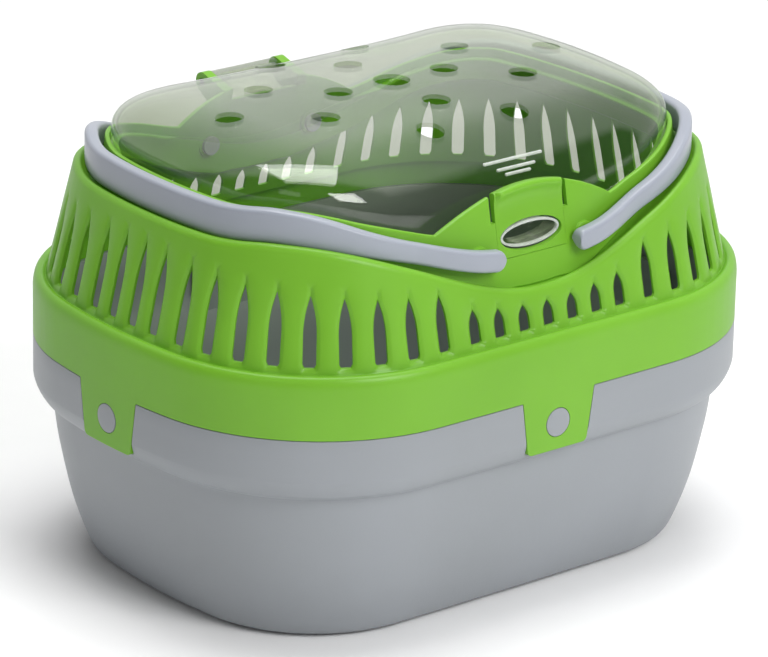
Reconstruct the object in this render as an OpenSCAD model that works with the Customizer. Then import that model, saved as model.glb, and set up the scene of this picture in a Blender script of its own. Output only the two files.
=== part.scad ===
// Small-animal carrier: grey tub, slatted green shell, clear domed lid with a
// sprung latch tongue, and two folding bail handles.
// Frame: millimetres, +Z up, origin on the floor under the middle of the tub,
// +X along the length, -Y towards the latch.

/* [Outline] */
// Overall length of the band around the middle
body_len = 300; // [260:1:340]
// Overall width of the band around the middle
body_wid = 229.4; // [205:0.2:255]
// Plan radius of the long sides
side_r = 6000; // [2500:100:9000]
// Plan radius of the bulged ends
end_r = 310; // [270:5:400]
// Plan radius of the corners
corner_r = 85.5; // [80:0.5:92]

/* [Tub] */
// Height of the joint line between tub and shell
joint_z = 99; // [96:0.5:102]
// Height of the upright face of the tub rim
rim_face_h = 19; // [17:0.5:22]
// How far the tub steps in under its rim
rim_step = 8.5; // [6:0.1:10]
// Inset of the tub foot from the band
foot_inset = 32; // [29:0.5:35]
// Tub wall thickness
tub_wall = 2.4; // [1.8:0.1:3]
// Height of the tub lip that stands inside the shell
spigot_h = 13; // [8:0.5:15]

/* [Shell] */
// Shell wall thickness
shell_wall = 2.4; // [1.8:0.1:2.8]
// Height of the upright band above the joint line
band_h = 25; // [22:0.5:27]
// Inset of the slatted wall just above the shoulder
wall_inset = 5.6; // [4.8:0.1:6.4]
// Inward lean of the slatted wall per millimetre of height
wall_lean = 0.239; // [0.2:0.005:0.28]
// Height of the wall's top edge at the middle of the long sides
lip_low_z = 144.9; // [142:0.1:148]
// Height of the wall's top edge at the ends
lip_high_z = 176.3; // [170:0.1:182]

/* [Slots] */
// Spacing of the short slots in the middle of the long sides
slot_pitch = 13.2; // [12.6:0.1:14]
// Spacing of the slots at the middle of the ends
end_slot_pitch = 14; // [12.6:0.1:15]
// Aimed spacing of the slots between them, measured along the band
long_slot_pitch = 16.6; // [15.6:0.1:19]
// Width of a slot
slot_w = 5.6; // [4:0.1:6.5]
// Height of the slot bottoms above the shoulder
slot_rise = 2.8; // [2.2:0.1:5]
// Width of the scoop around each slot
scoop_w = 9.4; // [7.5:0.1:10.4]
// Depth of the scoop around each slot
scoop_d = 1.1; // [0.4:0.1:1.4]

/* [Tabs and studs] */
// Tab width at the joint line
tab_top_w = 39; // [34:0.5:44]
// Tab width at its lower edge
tab_bottom_w = 32; // [28:0.5:36]
// Length of a tab below the joint line
tab_h = 24.5; // [22:0.5:26]
// Diameter of a stud head
stud_d = 12.6; // [10:0.1:14]
// Diameter of a stud shank
stud_shank_d = 6.8; // [5:0.1:8]
// Height of the stud centres
stud_z = 86.5; // [85:0.5:88]
// Thickness of the pad behind each tab
pad_t = 5; // [3.5:0.1:7]

/* [Lid] */
// Lid wall thickness
lid_wall = 2; // [1.5:0.1:2.6]
// Height of the lid's crown
lid_top_z = 207; // [202:0.5:214]
// Width of the curved margin of the lid
lid_margin = 40; // [32:0.5:44]
// Diameter of the central air hole
hole_mid_d = 16; // [10:0.5:18]
// Diameter of the other air holes
hole_d = 12.4; // [8:0.2:14]
// How far the lid reaches down inside the collar
lid_reach = 4; // [3:0.1:5]
// Highest point of the front crest
crest_z = 185.8; // [182:0.2:188]

/* [Latch] */
// Width of the sprung tongue
tongue_w = 37; // [33:0.5:39]
// Height of the line where the tongue bends
tongue_z = 156; // [155:0.1:157]
// Thickness of the tongue and collar
collar_wall = 2.3; // [1.8:0.1:2.6]
// Length of the oval latch window
window_w = 33.4; // [26:0.2:34]
// Height of the oval latch window
window_h = 13; // [8:0.2:13.6]

/* [Handles] */
// Thickness of a handle bar
bar_t = 6; // [4.5:0.1:6.4]
// Height of a handle bar at its pivots
bar_h = 9.3; // [8:0.1:10]
// Extra height of the grip at the ends of the carrier
grip_extra_h = 5; // [2:0.1:6]
// Distance of a handle pivot from the middle of the carrier
pivot_x = 28.5; // [27:0.1:32]
// Height of the handle pivots
pivot_z = 158.6; // [158:0.1:160]
// Diameter of a handle pin
handle_pin_d = 4.4; // [3:0.1:5]

/* [Hinge] */
// Diameter of a lid hinge pin
hinge_pin_d = 3.6; // [2.6:0.1:4]
// Diameter of the lid knuckle
knuckle_d = 8; // [7:0.1:8.4]
// Distance of the hinge axis behind the collar, so that the open lid stands behind raised handles
hinge_out = 14.5; // [14:0.1:16]
// Height of the lid hinge axis
hinge_z = 183; // [182:0.1:184]

/* [Hidden] */

green = [0.45, 0.72, 0.22];
tub_grey = [0.62, 0.64, 0.66];
handle_grey = [0.62, 0.64, 0.69];
clear = [0.85, 0.92, 0.88, 0.4];

gap = 0.3;          // room left between pieces that only touch
fit = 0.05;         // radial room of a pin in its bore
half_len = body_len / 2;
half_wid = body_wid / 2;

// ---- plan outline: arcs, described by the direction of the outward normal ----
function sq(v) = v * v;
function ease(v) = let (t = min(max(v, 0), 1)) t * t * (3 - 2 * t);
function mix(a, b, t) = a + (b - a) * t;

side_c = [0, side_r - half_wid];
end_c = [half_len - end_r, 0];
// the corner circle touches the side arc and the end arc from inside
cc_r1 = side_r - corner_r;
cc_r2 = end_r - corner_r;
cc_d = norm(end_c - side_c);
cc_m = (sq(cc_r1) - sq(cc_r2) + sq(cc_d)) / (2 * cc_d);
cc_h = sqrt(sq(cc_r1) - sq(cc_m));
cc_u = (end_c - side_c) / cc_d;
corner_c = side_c + cc_m * cc_u + cc_h * [-cc_u[1], cc_u[0]];
ang_side = atan2(corner_c[0] - side_c[0], side_c[1] - corner_c[1]);
ang_end = atan2(corner_c[0] - end_c[0], end_c[1] - corner_c[1]);

// point of the outline for a normal at angle q from -Y (quadrant 0..90), moved in by off
function quad_pt(q, off) =
    q < ang_side ? side_c + (side_r - off) * [sin(q), -cos(q)] :
    q > ang_end ? end_c + (end_r - off) * [sin(q), -cos(q)] :
    corner_c + (corner_r - off) * [sin(q), -cos(q)];
function plan_pt(t, off) =
    let (q = atan2(abs(sin(t)), abs(cos(t))), p = quad_pt(q, off))
    [sin(t) < 0 ? -p[0] : p[0], cos(t) < 0 ? -p[1] : p[1]];

n_side = 7;
n_corner = 8;
n_end = 3;
quad_angles = concat(
    [for (i = [0 : n_side - 1]) ang_side * i / n_side],
    [for (i = [0 : n_corner - 1]) ang_side + (ang_end - ang_side) * i / n_corner],
    [for (i = [0 : n_end - 1]) ang_end + (90 - ang_end) * i / n_end]);
n_quad = len(quad_angles);
RING = concat(
    quad_angles,
    [for (i = [0 : n_quad - 1]) 180 - (i == 0 ? 90 : quad_angles[n_quad - i])],
    [for (q = quad_angles) 180 + q],
    [for (i = [0 : n_quad - 1]) 360 - (i == 0 ? 90 : quad_angles[n_quad - i])]);

// faces of a closed tube whose rings of n points form a closed profile of m rings
function torus_faces(m, n) = [for (j = [0 : m - 1], i = [0 : n - 1], k = [0, 1])
    let (a = j * n + i, b = j * n + (i + 1) % n,
         c = ((j + 1) % m) * n + (i + 1) % n, d = ((j + 1) % m) * n + i)
    k == 0 ? [a, c, b] : [a, d, c]];
// faces of m stacked rings closed at both ends by fans round two extra points
function capped_faces(m, n) = concat(
    [for (j = [0 : m - 2], i = [0 : n - 1], k = [0, 1])
        let (a = j * n + i, b = j * n + (i + 1) % n, c = (j + 1) * n + (i + 1) % n, d = (j + 1) * n + i)
        k == 0 ? [a, c, b] : [a, d, c]],
    [for (i = [0 : n - 1]) [m * n, i, (i + 1) % n]],
    [for (i = [0 : n - 1]) [m * n + 1, (m - 1) * n + (i + 1) % n, (m - 1) * n + i]]);

// ---- heights and insets that the pieces share ----
wall_foot_z = joint_z + 26;
// inset of the slatted wall's outer face at height z
function wall_off(z) = wall_inset + wall_lean * (z - wall_foot_z);
// crease where the wall stands on the rounded shoulder of the band
crease_z = joint_z + band_h + 1;
crease_off = wall_off(crease_z);
slot_z = crease_z + slot_rise;
// top edge of the slatted wall
rim_full_x = half_len - 34;
function end_dip(x) = 1.8 * ease((abs(x) - rim_full_x) / 14);
function lip_z(x) = mix(lip_low_z, lip_high_z, ease((abs(x) - 2) / (rim_full_x - 2))) - end_dip(x);
// lower edge of the handle bars, and with it the rim line
bar_low_z = pivot_z - bar_h / 2 - 0.65;
function rim_line(x) = mix(bar_low_z, lip_high_z - 0.1, ease((abs(x) - 12) / (rim_full_x - 8))) - end_dip(x);
collar_rise = 12.2;
// bars and collar drop by this much towards the ends
end_drop = 1.3;
function drop(x) = end_drop * ease((abs(x) - 60) / 30);
function collar_top(x) = rim_line(x) + collar_rise - drop(x);
crest_r = 80;
function crest_top(x) = max(collar_top(x), crest_z - sq(x) / (2 * crest_r));
// outer face of the collar: a leaning panel in the middle, an upright wall at the ends
panel_off = 19.8;
panel_lean = 0.2;
panel_half = 20;
bar_gap = 4.6;
function collar_off(x, z) = mix(
    panel_off + panel_lean * (z - pivot_z),
    wall_off(lip_z(x)) + bar_gap + bar_t + 1.4 + 0.1 * (z - lip_z(x)),
    ease((abs(x) - panel_half) / 42));
// floor of the gutter between wall and collar
function gutter_z(x) = lip_z(x) - 3.4 + 1.9 * (1 - ease((abs(x) - 10) / 12));
function bar_out_off(x) = wall_off(rim_line(x)) + bar_gap * ease((abs(x) - 30) / 34) - 0.15;
// lid edge
lid_off_mid = 30.6;
lid_off_end = 33.3;
function lid_off(x) = mix(lid_off_mid, lid_off_end, ease(abs(x) / (half_len - 60)));
function collar_in_off(x, z) = min(collar_off(x, z) + collar_wall, lid_off(x) - gap);
function lid_bottom(x) = collar_top(x) - lid_reach - 3.5 * (1 - ease(abs(x) / 45));
function lid_edge(x) = rim_line(x) + collar_rise + 0.3;
crown_half_y = half_wid - lid_off_mid - 26;
crown_half_x = half_len - 20;
function lid_crown(x, y) = lid_top_z - 3.5 * sq(y / crown_half_y) * (1 - min(1, sq(x / crown_half_x)));
function lid_rise(u) = pow(1 - pow(1 - min(u, 1), 2.4), 1 / 2.4);

// ---- rings ----
function ring_xyz(t, off, z) = let (p = plan_pt(t, off)) [p[0], p[1], z];
// the x that heights and insets along the ray t are worked out from
rim_inset = 20;
function rim_x(t) = plan_pt(t, rim_inset)[0];

// ---- tub ----
rim_low_z = joint_z - rim_face_h;
step_z = rim_low_z - 10.5;
spigot_out = shell_wall + gap + 0.2;
// outer and inner faces of the tub as [inset, height], from the foot up and back down
tub_outer = [[foot_inset, 0], [foot_inset - 4.5, 1.4], [rim_step + 14.5, step_z * 0.085],
    [rim_step + 8, step_z * 0.36], [rim_step + 2.6, step_z * 0.71], [rim_step, step_z],
    [rim_step * 0.64, step_z + 2.2], [rim_step * 0.2, step_z + 6.2], [0, rim_low_z],
    [0, joint_z - gap], [spigot_out, joint_z - gap], [spigot_out, joint_z + spigot_h]];
spigot_in = spigot_out + tub_wall;
tub_inner = [[spigot_in, joint_z + spigot_h], [spigot_in, joint_z], [tub_wall + 0.1, joint_z - 5],
    [tub_wall, rim_low_z + 1], [rim_step * 0.2 + tub_wall + 0.2, step_z + 7.4],
    [rim_step + tub_wall, step_z + 0.6], [rim_step + 2.6 + tub_wall, step_z * 0.71],
    [rim_step + 8.1 + tub_wall, step_z * 0.37], [rim_step + 16 + tub_wall, step_z * 0.13],
    [foot_inset + 1.5, tub_wall]];
module tub_shell() {
    n = len(RING);
    rings = concat(tub_outer, tub_inner);
    polyhedron(
        points = concat([for (r = rings, t = RING) ring_xyz(t, r[0], r[1])], [[0, 0, 0], [0, 0, tub_wall]]),
        faces = capped_faces(len(rings), n), convexity = 8);
}

// tapered block as wide as a tab grown by g, from below the tab's edge to z above the joint line
module tab_wedge(g, below, above) {
    taper = (tab_top_w - tab_bottom_w) / tab_h;
    top_w = tab_top_w + 2 * g;
    low_w = tab_bottom_w - taper * below + 2 * g;
    translate([0, 12, joint_z]) rotate([90, 0, 0]) linear_extrude(18)
        polygon([[-top_w / 2, above], [-top_w / 2, 0], [-low_w / 2, -tab_h - below],
            [low_w / 2, -tab_h - below], [top_w / 2, 0], [top_w / 2, above]]);
}
// recess of a tab in the tub's rim, which follows the wall
module tab_recess(i) {
    intersection() {
        translate([0, 0, joint_z - tab_h - gap]) linear_extrude(tab_h + gap) difference() {
            polygon([for (t = RING) plan_pt(t, -3)]);
            polygon([for (t = RING) plan_pt(t, shell_wall + gap)]);
        }
        at_tab(i) tab_wedge(gap, gap, 0.01);
    }
}
// the four middles of the sides: [turn about Z, distance of the band face from the axis]
TABS = [[0, half_wid], [180, half_wid], [-90, half_len], [90, half_len]];
module at_tab(i) {
    rotate([0, 0, TABS[i][0]]) translate([0, -TABS[i][1], 0]) children();
}
pad_w = tab_top_w + 2 * gap + 2 * tub_wall;
pad_in = shell_wall + gap + pad_t;
// pad behind the rim that carries a tab's recess and the stud's bore; its foot runs out into the step
module pad() {
    rotate([90, 0, 90]) linear_extrude(pad_w, center = true)
        polygon([[tub_wall - 0.4, joint_z - 1], [tub_wall - 0.4, rim_low_z], [rim_step * 0.2 + 1.2, step_z + 7],
            [rim_step * 0.64 + 1.4, step_z + 2.8], [pad_in, step_z + 1.8], [pad_in, joint_z - 1]]);
}
module tub() {
    color(tub_grey) difference() {
        union() {
            tub_shell();
            for (i = [0 : 3]) at_tab(i) pad();
        }
        for (i = [0 : 3]) {
            tab_recess(i);
            at_tab(i) translate([0, 1, stud_z]) rotate([-90, 0, 0])
                cylinder(d = stud_shank_d + 2 * fit, h = pad_in - 2, $fn = 40);
        }
    }
}

// ---- shell ----
ledge_w_end = 4;
function ledge_w(x) = mix(0.3, ledge_w_end, ease((abs(x) - 46) / 14));
// [inset, height] pairs round the closed section of the shell at x
function shell_section(x) = let (
        low = lip_z(x), wo = wall_off(low - 3.4), floor_z = gutter_z(x),
        top = crest_top(x), co = collar_off(x, floor_z), ct = collar_off(x, top - 0.9),
        ci = collar_in_off(x, top - 0.9),
        seat = lid_bottom(x) - gap, cs = collar_in_off(x, seat), lw = ledge_w(x))
    [[0, joint_z - tab_h], [0, crease_z - 5], [0.4, crease_z - 1.8], [1.4, crease_z + 0.3],
     [3, crease_z + 1], [crease_off - 0.9, crease_z + 0.6], [crease_off, crease_z],
     [wo, low - 3.4], [wo + 1, low - 1.1], [wo + 3, low], [wo + 4.6, low - 2],
     [co, floor_z], [ct, top - 0.9], [ct + 0.7, top], [ci - 0.6, top],
     [ci, top - 0.9],
     [cs, seat], [cs + lw, seat], [cs + 0.1, seat - 1.8 - lw],
     [co + collar_wall, floor_z - 1], [co + 0.2, floor_z - 2.4],
     [wo + 5.2, low - 4.9], [wo + shell_wall, low - 5.6],
     [crease_off + shell_wall - 0.2, crease_z - 0.9], [shell_wall + 1.6, crease_z - 1.4],
     [shell_wall, crease_z - 4.6], [shell_wall, joint_z - tab_h]];
module shell_loft() {
    n = len(RING);
    sections = [for (t = RING) shell_section(rim_x(t))];
    m = len(sections[0]);
    polyhedron(
        points = [for (j = [0 : m - 1], i = [0 : n - 1]) ring_xyz(RING[i], sections[i][j][0], sections[i][j][1])],
        faces = torus_faces(m, n), convexity = 10);
}
// the quarter outline's length up to the corner, up to the end arc and in full
arc_side = side_r * ang_side * PI / 180;
arc_corner = arc_side + corner_r * (ang_end - ang_side) * PI / 180;
arc_full = arc_corner + end_r * (90 - ang_end) * PI / 180;
// normal angle at distance s along the quarter outline from the middle of a long side
function arc_angle(s) =
    s < arc_side ? s / side_r * 180 / PI :
    s < arc_corner ? ang_side + (s - arc_side) / corner_r * 180 / PI :
    ang_end + (s - arc_corner) / end_r * 180 / PI;
// distances of the slots: short ones, evenly spaced long ones, and the two next to the end's middle
n_short = 3;
short_arc = n_short * slot_pitch;
long_arc = arc_full - 1.5 * end_slot_pitch;
n_long = round((long_arc - short_arc) / long_slot_pitch);
slot_arcs = concat(
    [for (i = [1 : n_short]) i * slot_pitch],
    [for (i = [1 : n_long]) mix(short_arc, long_arc, i / n_long)],
    [arc_full - end_slot_pitch / 2]);
function slot_top(s) = s < short_arc + slot_pitch / 2 ?
    lip_low_z - 6.6 + sq(s) / 440 :
    mix(lip_low_z + 4.1, lip_high_z - 13, pow((s - short_arc) / (arc_full - short_arc), 0.8));
// normal angle and top of each slot
SLOTS = concat([[0, slot_top(0)], [180, slot_top(0)]],
    [for (s = slot_arcs) let (q = arc_angle(s)) each [for (t = [q, 180 - q, 180 + q, 360 - q]) [t, slot_top(s)]]]);
// block whose level rectangles are given as [half width, inset it reaches, height]
module tapered_block(rows) {
    m = len(rows);
    polyhedron(
        points = [for (r = rows) each [[-r[0], 0, r[2]], [r[0], 0, r[2]], [r[0], r[1] + 1, r[2]],
            [-r[0], r[1] + 1, r[2]]]],
        faces = concat([[0, 1, 2, 3]], [[for (i = [3 : -1 : 0]) (m - 1) * 4 + i]],
            [for (j = [0 : m - 2], i = [0 : 3]) let (k = (i + 1) % 4)
                each [[j * 4 + i, (j + 1) * 4 + k, j * 4 + k], [j * 4 + i, (j + 1) * 4 + i, (j + 1) * 4 + k]]]),
        convexity = 2);
}
// slot and the shallow scoop round it, where the outline's normal is at angle t
module slot_cut(t, top) {
    b = plan_pt(t, -1);
    h = top - slot_z;
    reach = wall_off(top) + shell_wall + 4;
    mid_z = slot_z + h * 0.55;
    translate([b[0], b[1], 0]) rotate([0, 0, t]) {
        translate([0, reach + 1, slot_z]) rotate([90, 0, 0]) linear_extrude(reach + 1)
            polygon([for (p = [[-0.5, 0], [-0.48, 0.5], [-0.34, 0.8], [-0.05, 1],
                [0.05, 1], [0.34, 0.8], [0.48, 0.5], [0.5, 0]]) [p[0] * slot_w, p[1] * h]]);
        tapered_block([
            [scoop_w / 2, 3, slot_z + 1.5],
            [scoop_w / 2, wall_off(slot_z + 8.2) + scoop_d, slot_z + 8.2],
            [scoop_w / 2, wall_off(mid_z) + scoop_d, max(mid_z, slot_z + 8.6)],
            [0.3, wall_off(top + 4) + 0.1, top + 4]]);
    }
}

// ---- latch tongue ----
slit_w = 2.4;
slit_z = crest_z - 11.3;
tongue_axis_z = tongue_z + gap + collar_wall / 2;
tongue_out_y = -half_wid + collar_off(0, tongue_axis_z);
window_z = 164.7;
// block that holds the tongue's part of the collar: half width w, from z up
module tongue_block(w, z) {
    translate([-w, tongue_out_y - 4, z]) cube([2 * w, 16, 60]);
}
// elliptical bar along Y: length l, height h
module oval(l, h, y0, y1) {
    translate([0, y1, window_z]) rotate([90, 0, 0]) linear_extrude(y1 - y0)
        polygon([for (a = [0 : 7.5 : 359]) [l / 2 * cos(a), h / 2 * sin(a)]]);
}
boss_d = 11;
boss_t = 5.4;
boss_gap = 0.9;  // the bar's inner face leans in by less than this over the boss
hinge_y = half_wid - collar_off(0, hinge_z) + hinge_out;
lug_in = 18;
lug_w = 4.6;
module pivot_boss(s, x) {
    translate([x, s * bar_in_y, pivot_z]) rotate([s * 90, 0, 0]) translate([0, 0, boss_gap])
        cylinder(d = boss_d, h = boss_t - boss_gap, $fn = 24);
}
bar_in_y = half_wid - bar_out_off(pivot_x) - bar_t;
// gusset from the back of the collar out to the hinge axis
module hinge_lug(s) {
    hull() {
        translate([s * (lug_in + lug_w / 2), hinge_y, hinge_z]) rotate([0, 90, 0])
            cylinder(d = knuckle_d + 0.8, h = lug_w, center = true, $fn = 20);
        for (z = [hinge_z - lug_foot_h, hinge_z - 1])
            translate([s * (lug_in + lug_w / 2) - lug_w / 2, half_wid - collar_off(lug_in, z) - 1.8, z])
                cube([lug_w, 1.6, 1]);
    }
}
lug_foot_h = 14;
module upper_shell() {
    color(green) difference() {
        union() {
            shell_loft();
            for (s = [-1, 1], x = [-pivot_x, pivot_x]) pivot_boss(s, x);
            for (s = [-1, 1]) hinge_lug(s);
        }
        difference() {
            translate([-half_len - 5, -half_wid - 5, joint_z - tab_h - 1])
                cube([body_len + 10, body_wid + 10, tab_h + 1]);
            for (i = [0 : 3]) at_tab(i) tab_wedge(0, 2, 0.01);
        }
        for (s = SLOTS) slot_cut(s[0], s[1]);
        tongue_block(tongue_w / 2 + gap, tongue_z);
        tongue_block(tongue_w / 2 + slit_w, slit_z);
        translate([-lug_in, -lid_front_y, hinge_z - knuckle_d / 2 - 1])
            cube([2 * lug_in, hinge_y + lid_front_y + 12, 40]);
        for (i = [0 : 3]) at_tab(i) translate([0, -3, stud_z]) rotate([-90, 0, 0])
            cylinder(d = stud_d + 2 * gap, h = 9, $fn = 24);
        for (s = [-1, 1], x = [-pivot_x, pivot_x]) translate([x, 0, pivot_z]) rotate([s * 90, 0, 0])
            cylinder(d = handle_pin_d + 2 * fit, h = half_wid, $fn = 24);
        translate([0, hinge_y, hinge_z]) rotate([0, 90, 0])
            cylinder(d = hinge_pin_d + 2 * fit, h = 80, center = true, $fn = 24);
    }
}

bead_d = 3.4;
crest_h = crest_z - tongue_axis_z;
module latch_tongue() {
    bead_half = asin((tongue_w / 2 - 0.6) / crest_r);
    color(green) translate([0, tongue_out_y, tongue_axis_z]) rotate([-atan(panel_lean), 0, 0]) difference() {
        union() {
            translate([0, collar_wall, 0]) rotate([90, 0, 0]) linear_extrude(collar_wall) intersection() {
                translate([0, crest_h - crest_r]) circle(r = crest_r, $fn = 96);
                translate([-tongue_w / 2, 0]) square([tongue_w, crest_h]);
            }
            translate([0, collar_wall / 2, 0]) rotate([0, 90, 0])
                cylinder(d = collar_wall, h = tongue_w, center = true, $fn = 24);
            translate([0, 0.2, crest_h - crest_r - bead_d / 2]) rotate([90, 0, 0])
                rotate([0, 0, 90 - bead_half])
                    rotate_extrude(angle = 2 * bead_half, $fn = 96) translate([crest_r, 0])
                        circle(d = bead_d, $fn = 16);
        }
        rotate([atan(panel_lean), 0, 0]) translate([0, 0, -tongue_axis_z]) oval(window_w, window_h, -6, 9);
    }
}

// ---- lid ----
lid_steps = [0.02, 0.07, 0.15, 0.27, 0.45, 0.7, 1];
lid_inner_rings = [0.66, 0.33];
// ring of the dome's skin at margin fraction u: k = 0 outside, 1 inside
function dome_ring(u, k) = [for (t = RING) let (x = rim_x(t), w = k * lid_wall,
    p = plan_pt(t, lid_off(x) + w + (lid_margin - w) * u),
    z = mix(lid_edge(x), lid_crown(p[0], p[1]) - w, lid_rise(u))) [p[0], p[1], z]];
function crown_ring(s, k) = let (w = k * lid_wall) [for (t = RING) let (
    p = s * plan_pt(t, lid_off(rim_x(t)) + lid_margin)) [p[0], p[1], lid_crown(p[0], p[1]) - w]];
function skirt_ring(k) = [for (t = RING) let (x = rim_x(t))
    ring_xyz(t, lid_off(x) + k * lid_wall, lid_bottom(x))];
module lid_loft() {
    rings = concat(
        [crown_ring(0.33, 1), crown_ring(0.66, 1)],
        [for (i = [len(lid_steps) - 1 : -1 : 0]) dome_ring(lid_steps[i], 1)],
        [skirt_ring(1), skirt_ring(0)],
        [for (u = lid_steps) dome_ring(u, 0)],
        [crown_ring(0.66, 0), crown_ring(0.33, 0)]);
    n = len(RING);
    polyhedron(
        points = concat([for (r = rings, p = r) p],
            [[0, 0, lid_crown(0, 0) - lid_wall], [0, 0, lid_crown(0, 0)]]),
        faces = capped_faces(len(rings), n), convexity = 8);
}
// air holes: the big middle one and three rings of pairs, as [x, y]
HOLES = [[29, 0], [-29, 0], [0, 30], [0, -30], [87, 0], [-87, 0],
    [54, 23], [54, -23], [-54, 23], [-54, -23], [23, 54], [23, -54], [-23, 54], [-23, -54]];
lid_front_y = -half_wid + lid_off_mid;
RIDGES = [[32, 0.2], [21, 0.145], [14, 0.095]];
// grip ridge of length l on the dome, a fraction u of the margin in from the edge
module ridge(l, u) {
    y = lid_front_y + lid_margin * u;
    translate([0, y, mix(lid_edge(0), lid_crown(0, y), lid_rise(u))]) rotate([0, 90, 0])
        cylinder(d = 1.6, h = l, center = true, $fn = 16);
}
module lid() {
    color(clear) difference() {
        union() {
            lid_loft();
            translate([0, hinge_y, hinge_z]) rotate([0, 90, 0])
                cylinder(d = knuckle_d, h = 2 * (lug_in - gap), center = true, $fn = 40);
            translate([-lug_in + gap, -lid_front_y - 2.8, hinge_z - 2.2])
                cube([2 * (lug_in - gap), hinge_y + lid_front_y + 2.8, 4.4]);
            oval(window_w - 3, window_h - 2.4, lid_front_y - 1, lid_front_y + 1);
            for (r = RIDGES) ridge(r[0], r[1]);
        }
        translate([0, 0, lid_top_z - 12]) cylinder(d = hole_mid_d, h = 20, $fn = 40);
        for (h = HOLES) translate([h[0], h[1], lid_top_z - 16]) cylinder(d = hole_d, h = 24, $fn = 32);
        translate([0, hinge_y, hinge_z]) rotate([0, 90, 0])
            cylinder(d = hinge_pin_d + 2 * fit, h = 60, center = true, $fn = 40);
    }
}

// ---- handles ----
bar_end_x = pivot_x - 8;
bar_end_cut = 4;  // off the lower end corner, which dips to the lip as the bail lifts
bar_t0 = asin(bar_end_x / side_r);
bar_quad = concat([bar_t0], [for (q = quad_angles) if (q > bar_t0 * 1.2) q]);
BAR_PATH = concat(bar_quad, [90], [for (i = [len(bar_quad) - 1 : -1 : 0]) 180 - bar_quad[i]]);
function bar_low(x) = rim_line(x) - drop(x);
function bar_high(x) = bar_low(x) + bar_h + grip_extra_h * ease((abs(x) - 60) / 60);
bar_round = 1.5;
bar_chamfer = 3.8;  // of the inner lower corner, which passes the collar as the bail lifts
module bar_loft() {
    n = 8;
    m = len(BAR_PATH);
    polyhedron(
        points = [for (t = BAR_PATH) let (x = rim_x(t), o = bar_out_off(x), a = bar_low(x), b = bar_high(x))
            each [for (c = [[0, a + bar_round], [bar_round, a], [bar_t - bar_chamfer, a], [bar_t, a + bar_chamfer],
                    [bar_t, b - bar_round], [bar_t - bar_round, b], [bar_round, b], [0, b - bar_round]])
                ring_xyz(t, o + c[0], c[1])]],
        faces = concat(
            [for (j = [0 : m - 2], i = [0 : n - 1], k = [0, 1])
                let (p = j * n + i, q = j * n + (i + 1) % n, r = (j + 1) * n + (i + 1) % n, s = (j + 1) * n + i)
                k == 0 ? [p, q, r] : [p, r, s]],
            [[for (i = [n - 1 : -1 : 0]) i]], [[for (i = [0 : n - 1]) (m - 1) * n + i]]), convexity = 6);
}
pin_seat = bar_t - 2.4;
module handle_right() {
    color(handle_grey) difference() {
        bar_loft();
        for (s = [-1, 1]) translate([pivot_x, s * (bar_in_y - 1), pivot_z]) rotate([-s * 90, 0, 0])
            cylinder(d = handle_pin_d + 2 * fit, h = pin_seat + 1, $fn = 40);
        translate([bar_end_x, 0, bar_low(bar_end_x)]) rotate([0, 45, 0])
            cube([bar_end_cut * sqrt(2), body_wid, bar_end_cut * sqrt(2)], center = true);
    }
}
module handle_left() {
    mirror([1, 0, 0]) handle_right();
}

// ---- pins and studs ----
pin_head_d = 8.4;
pin_head_t = 1.6;
head_at = pin_seat - 0.4 + boss_t + gap;
// from the head inside the collar to the blind bore in the handle, towards s * Y
module handle_pin(x, s) {
    color(handle_grey) translate([x, s * (bar_in_y + pin_seat - 0.4), pivot_z]) rotate([s * 90, 0, 0]) {
        cylinder(d = handle_pin_d, h = head_at + 0.2, $fn = 40);
        translate([0, 0, head_at]) cylinder(d = pin_head_d, h = pin_head_t, $fn = 40);
    }
}
module hinge_pin(s) {
    color(tub_grey) translate([s * lug_in * 0.45, hinge_y, hinge_z]) rotate([0, s * 90, 0])
        cylinder(d = hinge_pin_d, h = lug_in * 0.55 + lug_w, $fn = 40);
}
module stud(i) {
    head_r = stud_d / 2;
    shank_r = stud_shank_d / 2;
    color(tub_grey) at_tab(i) translate([0, 0, stud_z]) rotate([-90, 0, 0]) rotate_extrude($fn = 40)
        polygon([[0, -0.4], [head_r - 0.9, -0.4], [head_r, 0.2], [head_r, shell_wall],
            [shank_r, shell_wall], [shank_r, pad_in - 1.3], [0, pad_in - 1.3]]);
}

tub();
upper_shell();
latch_tongue();
lid();
handle_left();
handle_right();
stud(0);  // stud_front
stud(1);  // stud_back
stud(2);  // stud_left
stud(3);  // stud_right
handle_pin(-pivot_x, -1);  // handle_pin_front_left
handle_pin(pivot_x, -1);  // handle_pin_front_right
handle_pin(-pivot_x, 1);  // handle_pin_back_left
handle_pin(pivot_x, 1);  // handle_pin_back_right
hinge_pin(-1);  // hinge_pin_left
hinge_pin(1);  // hinge_pin_right
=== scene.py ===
import math

import bmesh
import bpy
import numpy as np
from mathutils import Matrix, Vector


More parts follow.
